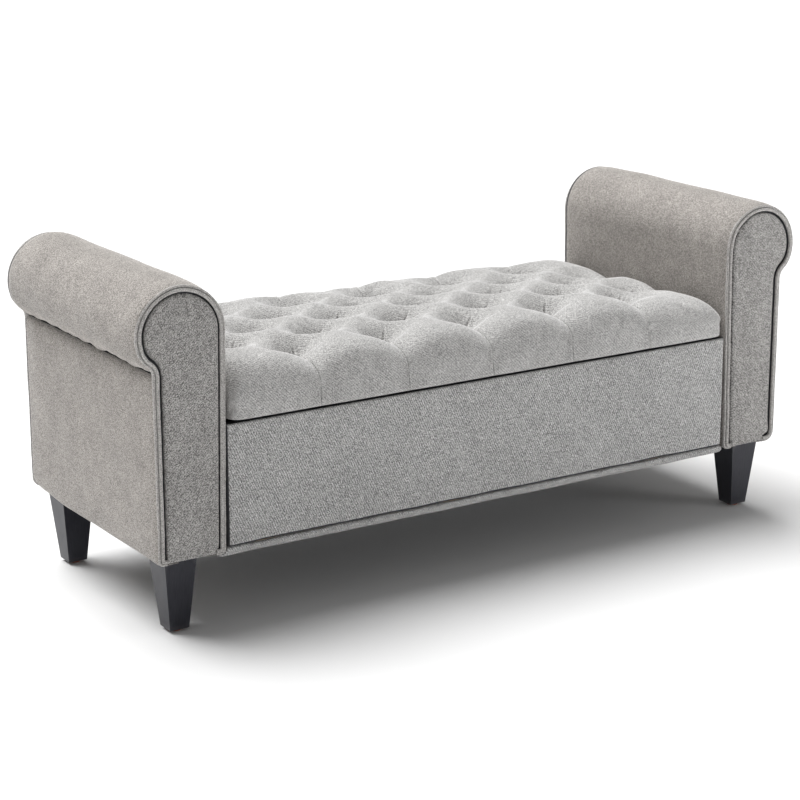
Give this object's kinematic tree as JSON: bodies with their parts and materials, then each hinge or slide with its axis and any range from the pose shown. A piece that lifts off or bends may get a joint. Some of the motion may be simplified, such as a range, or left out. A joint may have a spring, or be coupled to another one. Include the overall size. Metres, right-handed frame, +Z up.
{
  "type": "storage bench",
  "caption": "Upholstered storage bench with rolled arms, a button-tufted seat that lifts as a hinged lid over a storage box, piped arm ends and tapered legs.",
  "frame": {"origin": "on the floor under the middle of the bench, the centre of the base of its bounding box", "axes": "+X along the bench to the right as seen from the front, -Y to the front, +Z up"},
  "size_m": [1.28, 0.476, 0.5565],
  "materials": {
    "upholstery": "matte",
    "foam": "matte",
    "frame_wood": "matte",
    "leg_finish": "satin",
    "glide_felt": "matte",
    "bumper_rubber": "matte",
    "dust_cloth": "matte",
    "lining_cloth": "matte",
    "zinc_steel": "satin",
    "strut_black": "satin",
    "strut_rod_chrome": "polished"
  },
  "bodies": {
    "frame": {"arm_bolts": "zinc_steel", "arm_left_cover": "upholstery", "arm_left_foam": "foam", "arm_left_front_board": "frame_wood", "arm_left_front_facing": "upholstery", "arm_left_front_piping": "upholstery", "arm_left_inner_panel": "frame_wood", "arm_left_outer_cover": "upholstery", "arm_left_outer_panel": "frame_wood", "arm_left_rails": "frame_wood", "arm_left_rear_board": "frame_wood", "arm_left_rear_facing": "upholstery", "arm_left_rear_piping": "upholstery", "arm_left_roll_former": "frame_wood", "arm_right_cover": "upholstery", "arm_right_foam": "foam", "arm_right_front_board": "frame_wood", "arm_right_front_facing": "upholstery", "arm_right_front_piping": "upholstery", "arm_right_inner_panel": "frame_wood", "arm_right_outer_cover": "upholstery", "arm_right_outer_panel": "frame_wood", "arm_right_rails": "frame_wood", "arm_right_rear_board": "frame_wood", "arm_right_rear_facing": "upholstery", "arm_right_rear_piping": "upholstery", "arm_right_roll_former": "frame_wood", "base_frame": "frame_wood", "base_trim": "upholstery", "bottom_panel": "frame_wood", "box_lining": "lining_cloth", "box_side_left": "frame_wood", "box_side_right": "frame_wood", "dust_covers": "dust_cloth", "foot_glides": "glide_felt", "front_panel_board": "frame_wood", "front_panel_cover": "upholstery", "hinge_leaves_rear": "zinc_steel", "hinge_pins": "zinc_steel", "leg_bolts": "zinc_steel", "leg_front_left": "leg_finish", "leg_front_right": "leg_finish", "leg_rear_left": "leg_finish", "leg_rear_right": "leg_finish", "lid_bumpers": "bumper_rubber", "rear_panel_board": "frame_wood", "rear_panel_cover": "upholstery", "strut_brackets_box": "strut_black", "tee_nuts": "zinc_steel"},
    "lid": {"seat_cover": "upholstery", "seat_foam": "foam", "lid_board": "frame_wood", "lid_dust_cover": "dust_cloth", "seat_buttons": "upholstery", "hinge_leaves_lid": "zinc_steel", "strut_brackets_lid": "strut_black"},
    "strut_left_cylinder": {"strut_left_cylinder": "strut_black"},
    "strut_right_cylinder": {"strut_right_cylinder": "strut_black"},
    "strut_left_rod": {"strut_left_rod": "strut_rod_chrome"},
    "strut_right_rod": {"strut_right_rod": "strut_rod_chrome"}
  },
  "joints": [
    {"name": "lid_hinge", "type": "hinge", "parent": "frame", "child": "lid", "pos_m": [0, 0.233, 0.3315], "axis": [-1, 0, 0], "range_deg": [0, 85]},
    {"name": "strut_left_lower_pivot", "type": "hinge", "parent": "frame", "child": "strut_left_cylinder", "pos_m": [-0.47, 0.19072, 0.16684], "axis": [-1, 0, 0], "range_deg": [0, 42.5]},
    {"name": "strut_left_upper_pivot", "type": "hinge", "parent": "lid", "child": "strut_left_rod", "pos_m": [-0.47, 0.06358, 0.3175], "axis": [-1, 0, 0], "range_deg": [-42.5, 0]},
    {"name": "strut_right_lower_pivot", "type": "hinge", "parent": "frame", "child": "strut_right_cylinder", "pos_m": [0.47, 0.19072, 0.16684], "axis": [-1, 0, 0], "range_deg": [0, 42.5]},
    {"name": "strut_right_upper_pivot", "type": "hinge", "parent": "lid", "child": "strut_right_rod", "pos_m": [0.47, 0.06358, 0.3175], "axis": [-1, 0, 0], "range_deg": [-42.5, 0]}
  ],
  "couplings": [
    {"joint": "strut_left_lower_pivot", "follows": "lid_hinge", "ratio": 0.5},
    {"joint": "strut_left_upper_pivot", "follows": "lid_hinge", "ratio": -0.5},
    {"joint": "strut_right_lower_pivot", "follows": "lid_hinge", "ratio": 0.5},
    {"joint": "strut_right_upper_pivot", "follows": "lid_hinge", "ratio": -0.5}
  ]
}
